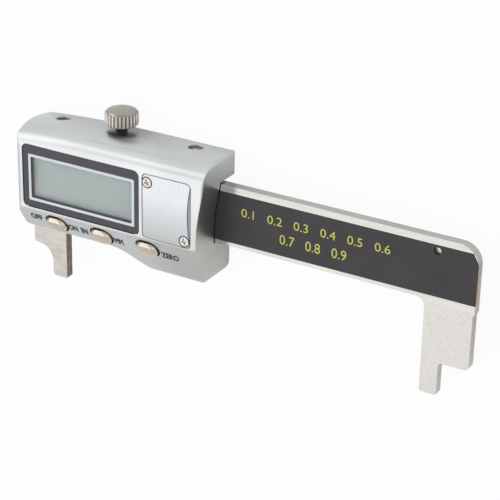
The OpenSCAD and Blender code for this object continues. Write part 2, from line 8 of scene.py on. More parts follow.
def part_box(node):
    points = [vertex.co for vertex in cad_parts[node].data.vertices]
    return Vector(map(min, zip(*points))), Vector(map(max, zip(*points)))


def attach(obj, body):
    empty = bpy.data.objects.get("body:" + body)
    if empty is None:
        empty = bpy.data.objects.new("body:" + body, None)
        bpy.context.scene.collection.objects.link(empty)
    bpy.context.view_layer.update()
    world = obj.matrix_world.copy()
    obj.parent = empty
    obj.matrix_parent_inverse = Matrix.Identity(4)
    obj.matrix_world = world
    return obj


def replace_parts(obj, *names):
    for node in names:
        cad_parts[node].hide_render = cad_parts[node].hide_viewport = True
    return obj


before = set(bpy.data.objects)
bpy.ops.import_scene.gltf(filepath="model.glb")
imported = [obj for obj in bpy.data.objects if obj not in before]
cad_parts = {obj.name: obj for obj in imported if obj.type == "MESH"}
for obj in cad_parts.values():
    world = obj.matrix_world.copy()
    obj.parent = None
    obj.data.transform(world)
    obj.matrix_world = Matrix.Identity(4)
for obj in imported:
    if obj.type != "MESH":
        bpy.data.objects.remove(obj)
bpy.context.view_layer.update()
beam_low, beam_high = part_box("beam")


def at(x, y, z):
    """Place that is that many millimetres from the moving probe's inner face, the beam's centreline and the table."""
    return Vector((beam_high.x + (x - 115.2) / 1000, beam_high.y + (y - 8) / 1000, z / 1000))


# ---------------------------------------------------------------- Camera
# The gauge lies on its back, so the view from the front and a little above
# becomes a look down at it from the right, with the knob side up.
camera_data = bpy.data.cameras.new("camera")
camera_data.sensor_width = 36
camera_data.lens = 131.25
camera_data.clip_start = 0.01
camera_data.clip_end = 10
camera = bpy.data.objects.new("camera", camera_data)
yaw, pitch, roll = -0.51221, -0.44110, 0.02322
ahead = Vector((math.sin(yaw) * math.cos(pitch), math.sin(pitch), -math.cos(yaw) * math.cos(pitch)))
level = Vector((math.cos(yaw), 0, math.sin(yaw)))
upward = level.cross(ahead)
side = math.cos(roll) * level + math.sin(roll) * upward
upward = math.cos(roll) * upward - math.sin(roll) * level
camera.matrix_world = Matrix.Translation(at(253.64, 183.6, 360.5)) @ Matrix(
    (side, upward, -ahead)).transposed().to_4x4()
bpy.context.scene.collection.objects.link(camera)
bpy.context.scene.camera = camera

# ---------------------------------------------------------------- Beam
# A stainless steel bar, stamped in one piece with the fixed probe, then ground.
# The two strips beside the label are polished, the probe is left blasted,
# with faint slanting marks of the grinding belt.


def linear(hex_colour):
    """Linear colour of an sRGB hex value."""
    parts = [int(hex_colour[i:i + 2], 16) / 255 for i in (1, 3, 5)]
    return [p / 12.92 if p <= 0.04045 else ((p + 0.055) / 1.055) ** 2.4 for p in parts] + [1.0]


def add_node(tree, kind, inputs, **settings):
    """Adds a node with its settings, and sets or links its inputs."""
    node = tree.nodes.new(kind)
    for name, value in settings.items():
        setattr(node, name, value)
    for socket, value in inputs.items():
        if isinstance(value, bpy.types.NodeSocket):
            tree.links.new(value, node.inputs[socket])
        else:
            node.inputs[socket].default_value = value
    return node


def new_finish(name, sockets):
    """A material of that name, its node tree and its shader, with the shader's sockets set."""
    material = bpy.data.materials.new(name)
    material.use_nodes = True
    shader = material.node_tree.nodes["Principled BSDF"]
    for socket, value in sockets.items():
        shader.inputs[socket].default_value = value
    return material, material.node_tree, shader


def grain_of(tree, size_mm, detail=3.0, turn=(0, 0, 0)):
    """Noise whose grains are that many millimetres along X, Y and Z."""
    place = add_node(tree, "ShaderNodeTexCoord", {})
    turned = add_node(tree, "ShaderNodeMapping", {"Vector": place.outputs["Object"], "Rotation": turn})
    scaled = add_node(tree, "ShaderNodeMapping", {
        "Vector": turned.outputs["Vector"], "Scale": [1000 / s for s in size_mm]})
    return add_node(tree, "ShaderNodeTexNoise", {
        "Vector": scaled.outputs["Vector"], "Scale": 1.0, "Detail": detail}).outputs["Fac"]


def tone(tree, factor, dark, light, low=0.3, high=0.7):
    """Colour between two hex values that follows a factor."""
    spread = add_node(tree, "ShaderNodeMapRange", {
        "Value": factor, "From Min": low, "From Max": high})
    return add_node(tree, "ShaderNodeMix", {
        0: spread.outputs["Result"], 6: linear(dark), 7: linear(light)},
        data_type="RGBA").outputs[2]


def amount(tree, factor, first, last, low=0.3, high=0.7):
    """Number between two values that follows a factor."""
    return add_node(tree, "ShaderNodeMapRange", {
        "Value": factor, "From Min": low, "From Max": high,
        "To Min": first, "To Max": last}).outputs["Result"]


def relief(tree, shader, height, depth_mm, strength=1.0):
    """Bump of that depth on a shader."""
    bump = add_node(tree, "ShaderNodeBump", {
        "Height": height, "Distance": depth_mm / 1000, "Strength": strength})
    tree.links.new(bump.outputs["Normal"], shader.inputs["Normal"])


def finish_node(name, material):
    """Gives a CAD node its material."""
    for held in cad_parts[name].material_slots:
        held.material = material


def smooth(mesh, angle=30):
    """Smooth shading with edges sharper than the angle kept."""
    mesh.shade_smooth()
    mesh.set_sharp_from_angle(angle=math.radians(angle))


def add_piece(name, mesh, material, body):
    """Shows a mesh as a piece that rides on a body."""
    mesh.materials.append(material)
    piece = bpy.data.objects.new(name, mesh)
    bpy.context.scene.collection.objects.link(piece)
    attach(piece, body)
    return piece


def eased_copy(node, width_mm, material, body, segments=3, angle=28, spared=None):
    """Stands for a CAD node with its sharp edges rounded, apart from those at spared places."""
    shape = bmesh.new()
    shape.from_mesh(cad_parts[node].data)
    bmesh.ops.remove_doubles(shape, verts=shape.verts, dist=2e-6)
    bmesh.ops.dissolve_limit(shape, angle_limit=math.radians(1.2), verts=shape.verts, edges=shape.edges)
    sharp = [e for e in shape.edges
             if len(e.link_faces) == 2 and e.calc_face_angle(0) > math.radians(angle)
             and not (spared and all(spared(v.co) for v in e.verts))]
    bmesh.ops.bevel(shape, geom=sharp, offset=width_mm / 1000, affect="EDGES", segments=segments,
                    profile=0.5, material=-1, clamp_overlap=False)
    mesh = bpy.data.meshes.new(node + "_eased")
    shape.to_mesh(mesh)
    shape.free()
    smooth(mesh, 40)
    piece = add_piece(node + "_eased", mesh, material, body)
    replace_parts(piece, node)
    even = piece.modifiers.new("even shading", "WEIGHTED_NORMAL")
    even.keep_sharp = True
    return piece


# Ground stainless steel, 1.4301: neutral to slightly warm, lines of the belt along the bar.
# The lines are really 0.05 mm apart and are drawn at 0.3 mm so that they show.
ground_steel, tree, shader = new_finish("ground stainless steel", {"Metallic": 1.0})
belt = grain_of(tree, (14, 0.3, 0.3))
pits = grain_of(tree, (0.55, 0.55, 0.55), 4)
marks = grain_of(tree, (0.35, 7, 7), 3, (0, 0, math.radians(-38)))
across = add_node(tree, "ShaderNodeSeparateXYZ", {
    "Vector": add_node(tree, "ShaderNodeTexCoord", {}).outputs["Object"]})
probe_part = add_node(tree, "ShaderNodeMapRange", {
    "Value": across.outputs["Y"], "From Min": at(0, -8, 0).y, "From Max": at(0, -9, 0).y}).outputs["Result"]
blasted = add_node(tree, "ShaderNodeMix", {0: 0.45, 2: pits, 3: marks}).outputs[0]
texture = add_node(tree, "ShaderNodeMix", {0: probe_part, 2: belt, 3: blasted}).outputs[0]
ground = add_node(tree, "ShaderNodeMix", {
    0: probe_part, 6: tone(tree, texture, "#bcb9b4", "#cfccc6"), 7: tone(tree, texture, "#bfbbb6", "#dedad5")},
    data_type="RGBA")
facing = add_node(tree, "ShaderNodeSeparateXYZ", {
    "Vector": add_node(tree, "ShaderNodeNewGeometry", {}).outputs["Normal"]})
sheared = add_node(tree, "ShaderNodeMapRange", {
    "Value": facing.outputs["X"], "From Min": 0.5, "From Max": 0.9})
tree.links.new(add_node(tree, "ShaderNodeMix", {
    0: sheared.outputs["Result"], 6: ground.outputs[2], 7: tone(tree, pits, "#aaa5a5", "#dad5d3")},
    data_type="RGBA").outputs[2], shader.inputs["Base Color"])
polish = add_node(tree, "ShaderNodeMix", {
    0: probe_part, 2: amount(tree, belt, 0.13, 0.2), 3: amount(tree, blasted, 0.32, 0.46)})
tree.links.new(polish.outputs[0], shader.inputs["Roughness"])
relief(tree, shader, texture, 0.006)
eased_copy("beam", 0.07, ground_steel, "beam")

# ---------------------------------------------------------------- Scale board and label
# The capacitive scale is a strip of cream glass-fibre laminate, glued into a pocket
# of the beam, with copper at its face. A charcoal polyester film covers it, printed
# in yellow-green with plain numbers; the place at its end stays bare.

# Sawn epoxy laminate: cream, with the weave's 0.4 mm threads at its edge, and a painted dark shade in the drilled
# hole.
laminate, tree, shader = new_finish("sawn glass-fibre laminate", {"Roughness": 0.62, "IOR": 1.55})
fibres = grain_of(tree, (0.4, 0.4, 0.12))
place = add_node(tree, "ShaderNodeTexCoord", {}).outputs["Object"]
# Painted shade: the laminate turns dark brown below 106 mm along the beam, at the drilled hole.
hole_shade_mask = add_node(tree, "ShaderNodeMapRange", {
    "Value": add_node(tree, "ShaderNodeSeparateXYZ", {"Vector": place}).outputs["X"],
    "From Min": at(106, 0, 0).x, "From Max": at(107, 0, 0).x})
tree.links.new(add_node(tree, "ShaderNodeMix", {
    0: hole_shade_mask.outputs["Result"], 6: linear("#3c3531"), 7: tone(tree, fibres, "#9a8672", "#cbb9a0")},
    data_type="RGBA").outputs[2], shader.inputs["Base Color"])
relief(tree, shader, fibres, 0.02)
finish_node("scale_board", laminate)

# Polyester film, fine matt outside: charcoal, a little cloudy, with an orange-peel of 1.2 mm.
film, tree, shader = new_finish("charcoal polyester film", {"IOR": 1.45})
cloud = grain_of(tree, (9, 5, 5), 2)
peel = grain_of(tree, (0.7, 0.7, 0.7), 3)
tree.links.new(tone(tree, cloud, "#2a2628", "#322d2f"), shader.inputs["Base Color"])
tree.links.new(amount(tree, peel, 0.36, 0.46), shader.inputs["Roughness"])
relief(tree, shader, peel, 0.004)
finish_node("scale_label", film)

# Screen-printing ink: yellow-green, opaque, thinner at the mesh's 0.25 mm pattern.
print_ink, tree, shader = new_finish("yellow-green screen ink", {"Roughness": 0.5, "IOR": 1.5})
cover = grain_of(tree, (0.25, 0.25, 0.25), 2)
tree.links.new(tone(tree, cover, "#b4b84c", "#cdd160"), shader.inputs["Base Color"])
relief(tree, shader, cover, 0.003)


def printed(name, words, height_mm, middle, along, up, material, body, wide=1.0, bold=0.0):
    """Lettering of that height, printed flat round a middle point."""
    text = bpy.data.curves.new(name, "FONT")
    text.body = words
    text.align_x = "CENTER"
    text.align_y = "CENTER"
    text.extrude = 0.01
    text.bevel_depth = bold
    text.bevel_resolution = 0
    text.resolution_u = 4
    holder = bpy.data.objects.new(name, text)
    bpy.context.scene.collection.objects.link(holder)
    bpy.context.view_layer.update()
    mesh = bpy.data.meshes.new_from_object(holder)
    bpy.data.objects.remove(holder)
    mesh.materials.clear()
    lows = [min(v.co[i] for v in mesh.vertices) for i in range(2)]
    highs = [max(v.co[i] for v in mesh.vertices) for i in range(2)]
    size = height_mm / 1000 / (highs[1] - lows[1])
    out = along.cross(up)
    mesh.transform(Matrix.Translation((-(lows[0] + highs[0]) / 2, -(lows[1] + highs[1]) / 2, 0)))
    mesh.transform(Matrix.Diagonal((size * wide, size, 0.0012, 1)))
    mesh.transform(Matrix.Translation(middle) @ Matrix((along, up, out)).transposed().to_4x4())
    mesh.shade_flat()
    return add_piece(name, mesh, material, body)


label_top = 7.5
rows = [("0.1   0.2   0.3   0.4   0.5   0.6", 72.7, 1.85, 2.25, 1.1), ("0.7   0.8   0.9", 72.4, -2.6, 2.6, 0.93)]
for number, (words, x, y, height, wide) in enumerate(rows):
    printed(f"label_numbers_{number + 1}", words, height, at(x, y, label_top), Vector((1, 0, 0)),
            Vector((0, 1, 0)), print_ink, "beam", wide)

# Bare copper foil shows as a thin line at the sawn end, between the film and the laminate.
copper, tree, shader = new_finish("sawn copper foil", {"Metallic": 1.0, "Roughness": 0.35})
smear = grain_of(tree, (0.3, 0.8, 0.3))
tree.links.new(tone(tree, smear, "#a5603f", "#cf8f6a"), shader.inputs["Base Color"])
relief(tree, shader, smear, 0.004)
shape = bmesh.new()
bmesh.ops.create_cube(shape, size=1.0)
bmesh.ops.scale(shape, vec=(0.00003, 0.0103, 0.00006), verts=shape.verts)
bmesh.ops.translate(shape, vec=at(115.18, -1.8, 7.24), verts=shape.verts)
mesh = bpy.data.meshes.new("copper_edge")
shape.to_mesh(mesh)
shape.free()
add_piece("copper_edge", mesh, copper, "beam")

# ---------------------------------------------------------------- Stop screw
# A small slotted steel screw behind the beam's hidden end, which stops the head.

# Bright nickel on steel: warm white metal, almost mirror smooth, with fine wear lines.
nickel_steel, tree, shader = new_finish("bright nickel-plated steel", {"Metallic": 1.0})
wear = grain_of(tree, (0.5, 0.5, 0.5))
tree.links.new(tone(tree, wear, "#bdb8b0", "#d8d4cc"), shader.inputs["Base Color"])
tree.links.new(amount(tree, wear, 0.16, 0.3), shader.inputs["Roughness"])
relief(tree, shader, wear, 0.004)
finish_node("stop_screw", nickel_steel)

# ---------------------------------------------------------------- Housing
# A zinc die-casting with a satin chrome plate: a pearly, very even metal skin.
# Tumbling before the plating leaves every outer edge with a small round.

# Satin chrome: neutral to cool, its pearl grain of 0.05 mm drawn at 0.35 mm so that it shows. On the
# lower right it carries a painted shade, darker and warmer.
pearl_chrome, tree, shader = new_finish("satin chrome on zinc", {"Metallic": 1.0})
pearl = grain_of(tree, (0.35, 0.35, 0.35), 4)
sweep = grain_of(tree, (16, 9, 9), 1)
cast_place = add_node(tree, "ShaderNodeSeparateXYZ", {
    "Vector": add_node(tree, "ShaderNodeTexCoord", {}).outputs["Object"]})
right_end = add_node(tree, "ShaderNodeMapRange", {
    "Value": cast_place.outputs["X"], "From Min": at(24, 0, 0).x, "From Max": at(41, 0, 0).x})
low_end = add_node(tree, "ShaderNodeMapRange", {
    "Value": cast_place.outputs["Y"], "From Min": at(0, 9, 0).y, "From Max": at(0, -4, 0).y})
# Painted shade: darker and warmer towards the lower right of the casting.
painted_shade_lower_right = add_node(tree, "ShaderNodeMath", {
    0: right_end.outputs["Result"], 1: low_end.outputs["Result"]}, operation="MULTIPLY")
tree.links.new(add_node(tree, "ShaderNodeMix", {
    0: painted_shade_lower_right.outputs[0], 6: tone(tree, sweep, "#cfd1d1", "#d8dada"),
    7: tone(tree, sweep, "#bebfba", "#c8c9c4")}, data_type="RGBA").outputs[2], shader.inputs["Base Color"])
tree.links.new(amount(tree, pearl, 0.31, 0.37), shader.inputs["Roughness"])
relief(tree, shader, pearl, 0.004)
chin_along = Vector((1, 0, 0))
chin_turn = math.radians(28)
chin_up = Vector((0, math.cos(chin_turn), math.sin(chin_turn)))
chin_face = chin_along.cross(chin_up)


def on_chin(x, y):
    """Place on the slanted face below the display."""
    return at(x, y, 16.5 - (-7.3 - y) * math.tan(chin_turn))


# The crease above the chin stays sharp, because the display's pocket runs along it.
crease = on_chin(0, -7.3)
eased_copy("housing", 0.16, pearl_chrome, "head", spared=lambda place: (
    abs(place.z - crease.z) < 0.0004 and abs((place - crease).dot(chin_face)) < 0.0003))

# The words beside the buttons are pad printed in black and read as dark grey on the chrome.
pad_ink, tree, shader = new_finish("black pad ink", {"Roughness": 0.45, "IOR": 1.5})
speck = grain_of(tree, (0.2, 0.2, 0.2))
tree.links.new(tone(tree, speck, "#141315", "#232224"), shader.inputs["Base Color"])
relief(tree, shader, speck, 0.002)
words_on_chin = [("OFF", -3.7, -10.0, 2.25, 0.72), ("ON", 7.4, -10.6, 2.25, 0.63),
                 ("IN", 10.9, -10.6, 2.25, 0.72), ("MM", 21.25, -11.0, 2.25, 0.62),
                 ("ZERO", 36.2, -11.6, 2.25, 0.7)]
for words, x, y, height, wide in words_on_chin:
    printed("word_" + words.lower(), words, height, on_chin(x, y), chin_along, chin_up, pad_ink,
            "head", wide, 0.05)

# ---------------------------------------------------------------- Moving probe
# A stamped stainless plate, screwed to the casting, ground along the beam's direction.

# The belt's lines cross the probe; drawn at 0.35 mm, with a warmer, duller tone than the beam.
# Its sheared edges weren't ground and stay darker.
belt_steel, tree, shader = new_finish("belt-ground stainless steel", {"Metallic": 1.0})
belt = grain_of(tree, (6, 0.32, 0.32), 4)
cloud = grain_of(tree, (3, 3, 3), 2)
sheared = add_node(tree, "ShaderNodeSeparateXYZ", {
    "Vector": add_node(tree, "ShaderNodeNewGeometry", {}).outputs["Normal"]})
flat_face = add_node(tree, "ShaderNodeMapRange", {
    "Value": add_node(tree, "ShaderNodeMath", {0: sheared.outputs["Z"]}, operation="ABSOLUTE").outputs[0],
    "From Min": 0.5, "From Max": 0.9}).outputs["Result"]
tree.links.new(add_node(tree, "ShaderNodeMix", {
    0: flat_face, 6: tone(tree, cloud, "#6d655a", "#918a80"), 7: tone(tree, belt, "#aaa59c", "#cac6bf")},
    data_type="RGBA").outputs[2], shader.inputs["Base Color"])
tree.links.new(amount(tree, cloud, 0.3, 0.44), shader.inputs["Roughness"])
relief(tree, shader, belt, 0.01)
eased_copy("moving_probe", 0.12, belt_steel, "head")

# ---------------------------------------------------------------- Back plate, gib strip and screws
# A flat stainless plate closes the channel behind the beam, held by four countersunk
# screws. A brass gib strip runs above the beam, pressed by two blackened set screws.

# Rolled stainless sheet: soft sheen with the rolling direction along the head.
sheet_steel, tree, shader = new_finish("rolled stainless sheet", {"Metallic": 1.0})
rolled = grain_of(tree, (8, 0.4, 0.4))
tree.links.new(tone(tree, rolled, "#b4b3b1", "#cbcac8"), shader.inputs["Base Color"])
tree.links.new(amount(tree, rolled, 0.28, 0.38), shader.inputs["Roughness"])
relief(tree, shader, rolled, 0.004)
eased_copy("back_plate", 0.1, sheet_steel, "head")
finish_node("back_plate_screws", nickel_steel)

# Drawn brass: yellow, with a dull film from handling and oil.
drawn_brass, tree, shader = new_finish("drawn brass", {"Metallic": 1.0})
drawn = grain_of(tree, (5, 0.3, 0.3))
tree.links.new(tone(tree, drawn, "#a8843f", "#c9a65c"), shader.inputs["Base Color"])
tree.links.new(amount(tree, drawn, 0.25, 0.4), shader.inputs["Roughness"])
relief(tree, shader, drawn, 0.004)
finish_node("gib_strip", drawn_brass)

# Blackened alloy steel: near black, oily sheen.
black_steel, tree, shader = new_finish("blackened steel", {"Metallic": 1.0})
oxide = grain_of(tree, (0.4, 0.4, 0.4))
tree.links.new(tone(tree, oxide, "#2b2a2a", "#454341"), shader.inputs["Base Color"])
tree.links.new(amount(tree, oxide, 0.32, 0.48), shader.inputs["Roughness"])
relief(tree, shader, oxide, 0.004)
finish_node("gib_set_screws", black_steel)

# ---------------------------------------------------------------- Electronics
# The main board faces the scale with its pads. It carries the controller under a
# drop of resin, the rubber connectors of the display and the springs of the cell.

# Solder mask over copper: green, glossy, tracks faintly lighter.
solder_mask, tree, shader = new_finish("green solder mask", {"Roughness": 0.3, "IOR": 1.5})
tracks = grain_of(tree, (4, 0.5, 1), 2)
tree.links.new(tone(tree, tracks, "#123f25", "#1d5a36", 0.45, 0.55), shader.inputs["Base Color"])
relief(tree, shader, tracks, 0.01)
finish_node("main_board", solder_mask)
finish_node("main_board_screws", nickel_steel)

# Potting resin: black, self-levelled, with a soft gloss.
resin, tree, shader = new_finish("black potting resin", {"Roughness": 0.35, "IOR": 1.55})
flow = grain_of(tree, (2, 2, 2), 2)
tree.links.new(tone(tree, flow, "#151516", "#212122"), shader.inputs["Base Color"])
relief(tree, shader, flow, 0.02)
finish_node("controller_chip", resin)

# Layered silicone connector: pink, with black conducting layers 0.2 mm apart.
layered_rubber, tree, shader = new_finish("layered conductive silicone", {"Roughness": 0.7, "IOR": 1.42})
place = add_node(tree, "ShaderNodeTexCoord", {})
layers = add_node(tree, "ShaderNodeTexWave", {
    "Vector": place.outputs["Object"], "Scale": 800.0, "Distortion": 0.0}, bands_direction="X")
tree.links.new(tone(tree, layers.outputs["Fac"], "#3a2c2d", "#cf9a9c"), shader.inputs["Base Color"])
relief(tree, shader, layers.outputs["Fac"], 0.01)
finish_node("panel_connectors", layered_rubber)

# Moulded silicone: grey and matt.
silicone, tree, shader = new_finish("moulded grey silicone", {"Roughness": 0.75, "IOR": 1.42})
bloom = grain_of(tree, (0.8, 0.8, 0.8))
tree.links.new(tone(tree, bloom, "#9b9b9d", "#adadaf"), shader.inputs["Base Color"])
relief(tree, shader, bloom, 0.01)
finish_node("button_pad", silicone)

# Pressed nickel-plated can of the cell: bright, brushed by the barrel plating.
cell_can, tree, shader = new_finish("nickel-plated cell can", {"Metallic": 1.0})
barrel = grain_of(tree, (1.5, 1.5, 0.4))
tree.links.new(tone(tree, barrel, "#c2c1bd", "#dbdad6"), shader.inputs["Base Color"])
tree.links.new(amount(tree, barrel, 0.2, 0.32), shader.inputs["Roughness"])
relief(tree, shader, barrel, 0.004)
finish_node("battery", cell_can)

# Tinned spring bronze: pale gold.
spring_bronze, tree, shader = new_finish("tinned spring bronze", {"Metallic": 1.0})
strip = grain_of(tree, (0.3, 2, 0.3))
tree.links.new(tone(tree, strip, "#c2a878", "#d6c199"), shader.inputs["Base Color"])
tree.links.new(amount(tree, strip, 0.22, 0.34), shader.inputs["Roughness"])
relief(tree, shader, strip, 0.004)
finish_node("battery_spring", spring_bronze)
finish_node("battery_side_contact", spring_bronze)

# ---------------------------------------------------------------- Display
# A dark plastic bezel drops into the casting and holds a clear acrylic window. The
# window has a light border printed round its edge, and behind it lies the empty
# liquid crystal panel.

# Moulded ABS with a fine matt texture: dark violet grey.
bezel_abs, tree, shader = new_finish("textured ABS", {"IOR": 1.53})
spark = grain_of(tree, (0.3, 0.3, 0.3), 4)
tree.links.new(tone(tree, spark, "#38343b", "#433e46"), shader.inputs["Base Color"])
tree.links.new(amount(tree, spark, 0.42, 0.55), shader.inputs["Roughness"])
relief(tree, shader, spark, 0.01)
eased_copy("display_bezel", 0.12, bezel_abs, "head")

# Liquid crystal panel at rest: grey-green, with the polariser's satin face.
panel_face, tree, shader = new_finish("liquid crystal panel", {"Roughness": 0.35, "IOR": 1.5})
shift = grain_of(tree, (20, 14, 14), 1)
cells = grain_of(tree, (0.5, 0.5, 0.5), 2)
tree.links.new(tone(tree, shift, "#cfd9d6", "#dae4e1"), shader.inputs["Base Color"])
relief(tree, shader, cells, 0.0002)
finish_node("display_panel", panel_face)

# White-grey border ink on the window.
border_ink, tree, shader = new_finish("pale border ink", {"Roughness": 0.5, "IOR": 1.5})
screen = grain_of(tree, (0.3, 0.3, 0.3))
tree.links.new(tone(tree, screen, "#cbd6d9", "#d8e1e3"), shader.inputs["Base Color"])
relief(tree, shader, screen, 0.002)
window_low, window_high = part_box("display_window")


def rounded_slab(low, high, corner_mm=0.0):
    """Flat block, with rounded corners where a radius is given."""
    slab = bmesh.new()
    bmesh.ops.create_cube(slab, size=1.0)
    bmesh.ops.scale(slab, vec=high - low, verts=slab.verts)
    bmesh.ops.translate(slab, vec=(low + high) / 2, verts=slab.verts)
    if corner_mm:
        upright = [e for e in slab.edges if abs(e.verts[0].co.z - e.verts[1].co.z) > 1e-6]
        bmesh.ops.bevel(slab, geom=upright, offset=corner_mm / 1000, affect="EDGES", segments=6,
                        profile=0.5, material=-1)
    return slab


border_t = Vector((0, 0, 0.00005))
slab = rounded_slab(Vector((window_low.x, window_low.y, window_high.z)), window_high + border_t)
top = max(slab.faces, key=lambda f: f.normal.z * f.calc_area())
bottom = min(slab.faces, key=lambda f: f.normal.z * f.calc_area())
bmesh.ops.inset_individual(slab, faces=[top, bottom], thickness=0.00105)
bmesh.ops.bridge_loops(slab, edges=[e for f in (top, bottom) for e in f.edges])
bmesh.ops.delete(slab, geom=[top, bottom], context="FACES_ONLY")
corners = [e for e in slab.edges if abs(e.verts[0].co.z - e.verts[1].co.z) > 1e-6]
bmesh.ops.bevel(slab, geom=corners, offset=0.0003, affect="EDGES", segments=4, profile=0.5, material=-1)
bmesh.ops.recalc_face_normals(slab, faces=slab.faces)
mesh = bpy.data.meshes.new("window_border")
slab.to_mesh(mesh)
slab.free()
smooth(mesh)
add_piece("window_border", mesh, border_ink, "head")

# Clear acrylic with a hard coat: almost no tint, sharp reflections, faint wipe marks.
acrylic, tree, shader = new_finish("hard-coated acrylic", {
    "Transmission Weight": 1.0, "IOR": 1.49, "Base Color": linear("#f7faf9")})
wipe = grain_of(tree, (6, 0.8, 1), 2, (0, 0, math.radians(20)))
tree.links.new(amount(tree, wipe, 0.02, 0.07), shader.inputs["Roughness"])
slab = rounded_slab(window_low, window_high - 0.2 * border_t, 0.35)
mesh = bpy.data.meshes.new("window_pane")
slab.to_mesh(mesh)
slab.free()
smooth(mesh)
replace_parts(add_piece("window_pane", mesh, acrylic, "head"), "display_window")

# ---------------------------------------------------------------- Battery cover
# A zinc plate with the casting's satin chrome, level with the face, held by two
# small cross-recessed screws. A crescent at its edge lets a fingernail lift it.

# The cover is brushed lightly after plating, so it is a shade cooler than the casting. Towards its lower
# end and in the recesses it carries a painted shade.
cover_chrome, tree, shader = new_finish("satin chrome on the cover", {"Metallic": 1.0})
brush = grain_of(tree, (0.35, 4, 0.35), 3)
cover_place = add_node(tree, "ShaderNodeSeparateXYZ", {
    "Vector": add_node(tree, "ShaderNodeTexCoord", {}).outputs["Object"]})
painted_shade_lower_end = add_node(tree, "ShaderNodeMapRange", {
    "Value": cover_place.outputs["Y"], "From Min": at(0, -8, 0).y, "From Max": at(0, 5, 0).y})
skin = add_node(tree, "ShaderNodeMix", {
    0: painted_shade_lower_end.outputs["Result"], 6: tone(tree, brush, "#a1a2a1", "#acadac"),
    7: tone(tree, brush, "#cbced0", "#d5d8da")}, data_type="RGBA")
# Painted shade: violet grey in the sunk crescent recess.
painted_shade_in_recess = add_node(tree, "ShaderNodeMapRange", {
    "Value": cover_place.outputs["Z"], "From Min": at(0, 0, 16.2).z, "From Max": at(0, 0, 16.35).z})
tree.links.new(add_node(tree, "ShaderNodeMix", {
    0: painted_shade_in_recess.outputs["Result"], 6: linear("#8d90a0"), 7: skin.outputs[2]},
    data_type="RGBA").outputs[2], shader.inputs["Base Color"])
tree.links.new(amount(tree, brush, 0.3, 0.38), shader.inputs["Roughness"])
relief(tree, shader, brush, 0.003)
eased_copy("battery_cover", 0.12, cover_chrome, "head")
eased_copy("battery_cover_screws", 0.05, nickel_steel, "head")

# ---------------------------------------------------------------- Buttons
# Three oval die-cast caps with a domed face, plated a warm champagne nickel and
# buffed, each in its own hole in the chin.

# Champagne nickel: warm, soft-bright, the buffing leaves 0.3 mm streaks along the cap.
champagne, tree, shader = new_finish("buffed champagne nickel", {"Metallic": 1.0})
buffed = grain_of(tree, (2, 0.3, 0.3))
tree.links.new(tone(tree, buffed, "#cfc2b2", "#e0d5c7"), shader.inputs["Base Color"])
tree.links.new(amount(tree, buffed, 0.15, 0.22), shader.inputs["Roughness"])
relief(tree, shader, buffed, 0.003)
for number, name in enumerate(("power_button", "unit_button", "zero_button")):
    middle = on_chin(2.4 + 13.75 * number, -10.75)
    shape = bmesh.new()
    outline = []
    for turn in range(48):
        angle = math.radians(7.5 * turn)
        along = 2.3 * math.cos(angle) + math.copysign(0.75, math.cos(angle))
        outline.append(shape.verts.new(middle + (along * chin_along + 2.3 * math.sin(angle) * chin_up
                                                 - 1.5 * chin_face) / 1000))
    foot = shape.faces.new(outline)
    raised = bmesh.ops.extrude_face_region(shape, geom=[foot])["geom"]
    bmesh.ops.translate(shape, vec=2.55 * chin_face / 1000,
                        verts=[g for g in raised if isinstance(g, bmesh.types.BMVert)])
    crown = [g for g in raised if isinstance(g, bmesh.types.BMFace)][0]
    bmesh.ops.bevel(shape, geom=list(crown.edges), offset=0.0009, affect="EDGES", segments=7,
                    profile=0.5, material=-1)
    base = bmesh.ops.create_cube(shape, size=1.0)["verts"]
    bmesh.ops.scale(shape, vec=(0.0081, 0.004, 0.0008), verts=base)
    bmesh.ops.rotate(shape, cent=(0, 0, 0), matrix=Matrix.Rotation(chin_turn, 3, "X"), verts=base)
    bmesh.ops.translate(shape, vec=middle - 1.82 * chin_face / 1000, verts=base)
    bmesh.ops.recalc_face_normals(shape, faces=shape.faces)
    mesh = bpy.data.meshes.new(name + "_cap")
    shape.to_mesh(mesh)
    shape.free()
    smooth(mesh, 50)
    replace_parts(add_piece(name + "_cap", mesh, champagne, name), name)

# ---------------------------------------------------------------- Lock screw
# Turned brass with a straight knurl and a shallow dome, nickel plated. It is warm and shiny on the dome;
# the knurl's crests carry a painted highlight, its grooves and the neck a painted dark shade.
knob_nickel, tree, shader = new_finish("nickel-plated turned brass", {"Metallic": 1.0})
turning = grain_of(tree, (0.35, 0.35, 0.35))
place = add_node(tree, "ShaderNodeTexCoord", {}).outputs["Object"]
lock_axis = at(16.3, 0, 5.35)
outward = add_node(tree, "ShaderNodeVectorMath", {0: place, 1: (1, 0, 1)}, operation="MULTIPLY")
radius = add_node(tree, "ShaderNodeVectorMath", {
    0: outward.outputs[0], 1: (lock_axis.x, 0, lock_axis.z)}, operation="DISTANCE")
# Painted light by radius: dark in the grooves and at the neck, bright on the crests.
painted_crest_and_groove = add_node(tree, "ShaderNodeMapRange", {
    "Value": radius.outputs["Value"], "From Min": 0.0039, "From Max": 0.0042})
height = add_node(tree, "ShaderNodeMapRange", {
    "Value": add_node(tree, "ShaderNodeSeparateXYZ", {"Vector": place}).outputs["Y"],
    "From Min": at(0, 19.9, 0).y, "From Max": at(0, 20.1, 0).y})
knurl_painted_light_and_shade = add_node(tree, "ShaderNodeMix", {
    0: painted_crest_and_groove.outputs["Result"], 6: linear("#453c39"), 7: linear("#dcd7d0")}, data_type="RGBA")
tree.links.new(add_node(tree, "ShaderNodeMix", {
    0: height.outputs["Result"], 6: knurl_painted_light_and_shade.outputs[2], 7: tone(tree, turning, "#a59e95", "#b5aea5")},
    data_type="RGBA").outputs[2], shader.inputs["Base Color"])
tree.links.new(amount(tree, turning, 0.1, 0.16), shader.inputs["Roughness"])
relief(tree, shader, turning, 0.001)
eased_copy("lock_screw", 0.06, knob_nickel, "lock_screw", 2, 35)


